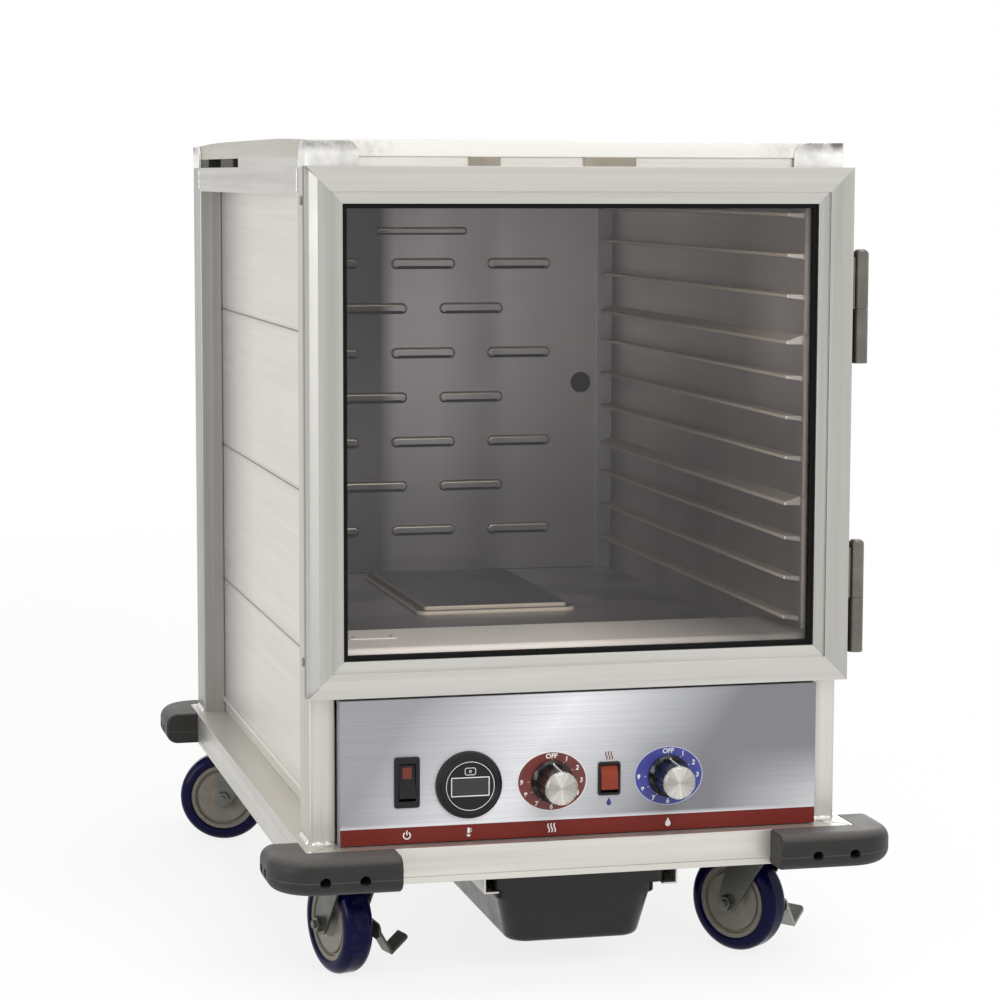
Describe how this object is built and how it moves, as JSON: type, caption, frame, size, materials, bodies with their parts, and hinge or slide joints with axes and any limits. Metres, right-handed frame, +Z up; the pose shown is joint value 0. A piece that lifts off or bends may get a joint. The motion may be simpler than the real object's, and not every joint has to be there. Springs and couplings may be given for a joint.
{
  "type": "heated proofer cabinet",
  "caption": "Undercounter heated proofing cabinet with clear-paned door, pan ledges, slide-out heater drawer with dials, water pan and swivel casters",
  "frame": {"origin": "on the ground under the middle of the base, bumpers included", "axes": "+Z up, -Y out of the door, +X to the hinge side"},
  "size_m": [0.616, 0.871, 0.8125],
  "materials": {
    "aluminium_frame": "satin",
    "aluminium_door": "satin",
    "bumper_rubber": "matte",
    "steel_zinc": "satin",
    "black_plastic": "satin",
    "black_rubber": "matte",
    "clear_pane": "clear",
    "printed_panel": "brushed",
    "red_print": "satin",
    "blue_print": "satin",
    "orange_plastic": "gloss",
    "blue_tread": "gloss",
    "grey_hub": "satin"
  },
  "bodies": {
    "cabinet": {"base_rails": "aluminium_frame", "deck_and_caster_pads": "aluminium_frame", "front_bumpers": "bumper_rubber", "rear_bumpers": "bumper_rubber", "frame_screws": "steel_zinc", "front_posts": "aluminium_frame", "rear_posts": "aluminium_frame", "top_frame_rails": "aluminium_frame", "roof_spacers": "bumper_rubber", "top_corner_brackets": "aluminium_frame", "roof_cover": "aluminium_frame", "left_wall_planks": "aluminium_frame", "right_wall_planks": "aluminium_frame", "back_panel": "aluminium_frame", "cord_gland": "black_plastic", "ceiling_panel": "aluminium_frame", "louvre_panel": "aluminium_frame", "cavity_floor": "aluminium_frame", "floor_vent_cover": "aluminium_frame", "door_sill": "aluminium_frame", "hinge_frame_leaves": "steel_zinc", "pan_runners": "aluminium_frame", "caster_plates": "steel_zinc"},
    "door": {"door_top_rail": "aluminium_door", "door_bottom_rail": "aluminium_door", "door_left_stile": "aluminium_door", "door_right_stile": "aluminium_door", "glazing_gasket": "black_rubber", "door_pane": "clear_pane", "door_seal": "black_rubber", "hinge_door_leaves": "steel_zinc"},
    "drawer": {"control_panel": "printed_panel", "drawer_box": "steel_zinc", "switch_housings": "black_plastic", "thermometer": "black_plastic", "heat_dial_plate": "red_print", "humidity_dial_plate": "blue_print", "rotary_controls": "black_plastic", "fan_motor": "black_plastic", "heating_elements": "steel_zinc"},
    "fan": {"fan_wheel": "steel_zinc"},
    "heat_knob_body": {"heat_knob": "black_plastic"},
    "humidity_knob_body": {"humidity_knob": "black_plastic"},
    "power_rocker_body": {"power_rocker": "black_plastic"},
    "mode_rocker_body": {"mode_rocker": "orange_plastic"},
    "pan": {"water_pan": "black_plastic"},
    "front_left_swivel": {"front_left_fork": "steel_zinc"},
    "front_left_wheel": {"front_left_hub": "grey_hub", "front_left_tread": "blue_tread"},
    "front_left_brake": {"front_left_brake_lever": "steel_zinc"},
    "front_right_swivel": {"front_right_fork": "steel_zinc"},
    "front_right_wheel": {"front_right_hub": "grey_hub", "front_right_tread": "blue_tread"},
    "front_right_brake": {"front_right_brake_lever": "steel_zinc"},
    "rear_left_swivel": {"rear_left_fork": "steel_zinc"},
    "rear_left_wheel": {"rear_left_hub": "grey_hub", "rear_left_tread": "blue_tread"},
    "rear_right_swivel": {"rear_right_fork": "steel_zinc"},
    "rear_right_wheel": {"rear_right_hub": "grey_hub", "rear_right_tread": "blue_tread"}
  },
  "joints": [
    {"name": "door_hinge", "type": "hinge", "parent": "cabinet", "child": "door", "pos_m": [0.2774, -0.3766, 0.511], "axis": [0, 0, 1], "range_deg": [0, 180]},
    {"name": "drawer_slide", "type": "slide", "parent": "cabinet", "child": "drawer", "axis": [0, -1, 0], "range_m": [0, 0.38]},
    {"name": "pan_slide", "type": "slide", "parent": "cabinet", "child": "pan", "axis": [0, -1, 0], "range_m": [0, 0.3]},
    {"name": "heat_turn", "type": "hinge", "parent": "drawer", "child": "heat_knob_body", "pos_m": [-0.0301, -0.4, 0.2014], "axis": [0, 1, 0], "range_deg": [0, 270]},
    {"name": "humidity_turn", "type": "hinge", "parent": "drawer", "child": "humidity_knob_body", "pos_m": [0.0863, -0.4, 0.2014], "axis": [0, 1, 0], "range_deg": [0, 270]},
    {"name": "power_rock", "type": "hinge", "parent": "drawer", "child": "power_rocker_body", "pos_m": [-0.1719, -0.3786, 0.2066], "axis": [1, 0, 0], "range_deg": [0, 20]},
    {"name": "mode_rock", "type": "hinge", "parent": "drawer", "child": "mode_rocker_body", "pos_m": [0.0267, -0.3786, 0.2014], "axis": [1, 0, 0], "range_deg": [0, 20]},
    {"name": "fan_spin", "type": "hinge", "parent": "drawer", "child": "fan", "pos_m": [0, 0.04, 0.22], "axis": [0, 0, 1], "continuous": true},
    {"name": "front_left_swivel_turn", "type": "hinge", "parent": "cabinet", "child": "front_left_swivel", "pos_m": [-0.21, -0.316, 0.115], "axis": [0, 0, 1], "continuous": true},
    {"name": "front_left_wheel_roll", "type": "hinge", "parent": "front_left_swivel", "child": "front_left_wheel", "pos_m": [-0.21854, -0.28412, 0.0508], "axis": [0.9659, 0.2588, 0], "continuous": true},
    {"name": "front_left_brake_tip", "type": "hinge", "parent": "front_left_swivel", "child": "front_left_brake", "pos_m": [-0.21854, -0.28412, 0.0508], "axis": [0.9659, 0.2588, 0], "range_deg": [0, 30]},
    {"name": "front_right_swivel_turn", "type": "hinge", "parent": "cabinet", "child": "front_right_swivel", "pos_m": [0.21, -0.316, 0.115], "axis": [0, 0, 1], "continuous": true},
    {"name": "front_right_wheel_roll", "type": "hinge", "parent": "front_right_swivel", "child": "front_right_wheel", "pos_m": [0.1906, -0.2893, 0.0508], "axis": [0.809, 0.5878, 0], "continuous": true},
    {"name": "front_right_brake_tip", "type": "hinge", "parent": "front_right_swivel", "child": "front_right_brake", "pos_m": [0.1906, -0.2893, 0.0508], "axis": [0.809, 0.5878, 0], "range_deg": [0, 30]},
    {"name": "rear_left_swivel_turn", "type": "hinge", "parent": "cabinet", "child": "rear_left_swivel", "pos_m": [-0.21, 0.316, 0.115], "axis": [0, 0, 1], "continuous": true},
    {"name": "rear_left_wheel_roll", "type": "hinge", "parent": "rear_left_swivel", "child": "rear_left_wheel", "pos_m": [-0.2421, 0.32365, 0.0508], "axis": [0.2317, 0.9728, 0], "continuous": true},
    {"name": "rear_right_swivel_turn", "type": "hinge", "parent": "cabinet", "child": "rear_right_swivel", "pos_m": [0.21, 0.316, 0.115], "axis": [0, 0, 1], "continuous": true},
    {"name": "rear_right_wheel_roll", "type": "hinge", "parent": "rear_right_swivel", "child": "rear_right_wheel", "pos_m": [0.1935, 0.34458, 0.0508], "axis": [0.866, 0.5, 0], "continuous": true}
  ]
}
